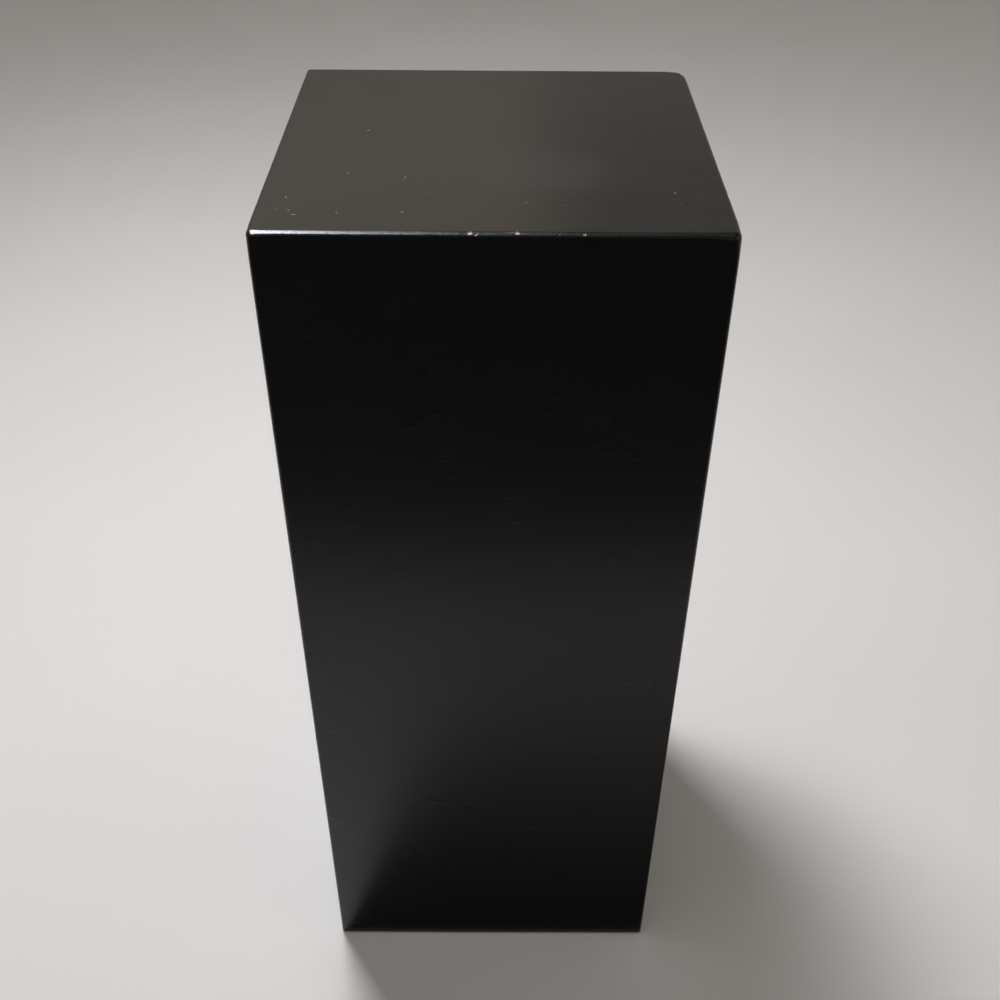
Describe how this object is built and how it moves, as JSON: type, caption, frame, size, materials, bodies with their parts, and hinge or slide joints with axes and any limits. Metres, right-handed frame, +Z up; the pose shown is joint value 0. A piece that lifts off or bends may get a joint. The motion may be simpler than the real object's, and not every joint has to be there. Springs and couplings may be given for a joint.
{
  "type": "display plinth",
  "caption": "Tall square display plinth: mitred black-lacquered panels with rounded edges over a softwood frame, a screwed-on plywood base and levelling feet.",
  "frame": {"origin": "middle of the footprint, on the floor, with the levelling feet wound right in", "axes": "+Z up, the front faces -Y, +X to the right when looking at the front"},
  "size_m": [0.4, 0.4, 1],
  "materials": {
    "lacquered_board": "medium-density fibreboard under filled and rubbed-down black lacquer, satin",
    "beech": "pressed beech, raw",
    "softwood": "planed pine, raw",
    "raw_board": "fibreboard, raw",
    "birch_plywood": "birch plywood, clear sealed",
    "zinc_steel": "bright zinc plate",
    "nylon": "moulded black nylon, fine texture",
    "rubber": "moulded rubber, matt"
  },
  "bodies": {
    "plinth": {"front_panel": "lacquered_board", "right_panel": "lacquered_board", "back_panel": "lacquered_board", "left_panel": "lacquered_board", "top_panel": "lacquered_board", "upright_biscuits": "beech", "top_biscuits": "beech", "batten_front_right": "softwood", "batten_back_right": "softwood", "batten_back_left": "softwood", "batten_front_left": "softwood", "top_rail_front": "softwood", "top_rail_right": "softwood", "top_rail_back": "softwood", "top_rail_left": "softwood", "cleat_front": "softwood", "cleat_right": "softwood", "cleat_back": "softwood", "cleat_left": "softwood", "base_rail_front": "softwood", "base_rail_right": "softwood", "base_rail_back": "softwood", "base_rail_left": "softwood", "mid_panel": "raw_board", "base_panel": "birch_plywood", "batten_screws": "zinc_steel", "rail_screws": "zinc_steel", "top_screws": "zinc_steel", "cleat_screws": "zinc_steel", "mid_panel_screws": "zinc_steel", "base_panel_screws": "zinc_steel", "tee_nuts": "zinc_steel", "lock_nuts": "zinc_steel"},
    "foot_front_right": {"foot_stem_front_right": "zinc_steel", "foot_pad_front_right": "nylon", "foot_sole_front_right": "rubber"},
    "foot_back_right": {"foot_stem_back_right": "zinc_steel", "foot_pad_back_right": "nylon", "foot_sole_back_right": "rubber"},
    "foot_back_left": {"foot_stem_back_left": "zinc_steel", "foot_pad_back_left": "nylon", "foot_sole_back_left": "rubber"},
    "foot_front_left": {"foot_stem_front_left": "zinc_steel", "foot_pad_front_left": "nylon", "foot_sole_front_left": "rubber"}
  },
  "joints": [
    {"name": "foot_drop_front_right", "type": "slide", "parent": "plinth", "child": "foot_front_right", "axis": [0, 0, -1], "range_m": [0, 0.012]},
    {"name": "foot_drop_back_right", "type": "slide", "parent": "plinth", "child": "foot_back_right", "axis": [0, 0, -1], "range_m": [0, 0.012]},
    {"name": "foot_drop_back_left", "type": "slide", "parent": "plinth", "child": "foot_back_left", "axis": [0, 0, -1], "range_m": [0, 0.012]},
    {"name": "foot_drop_front_left", "type": "slide", "parent": "plinth", "child": "foot_front_left", "axis": [0, 0, -1], "range_m": [0, 0.012]}
  ]
}
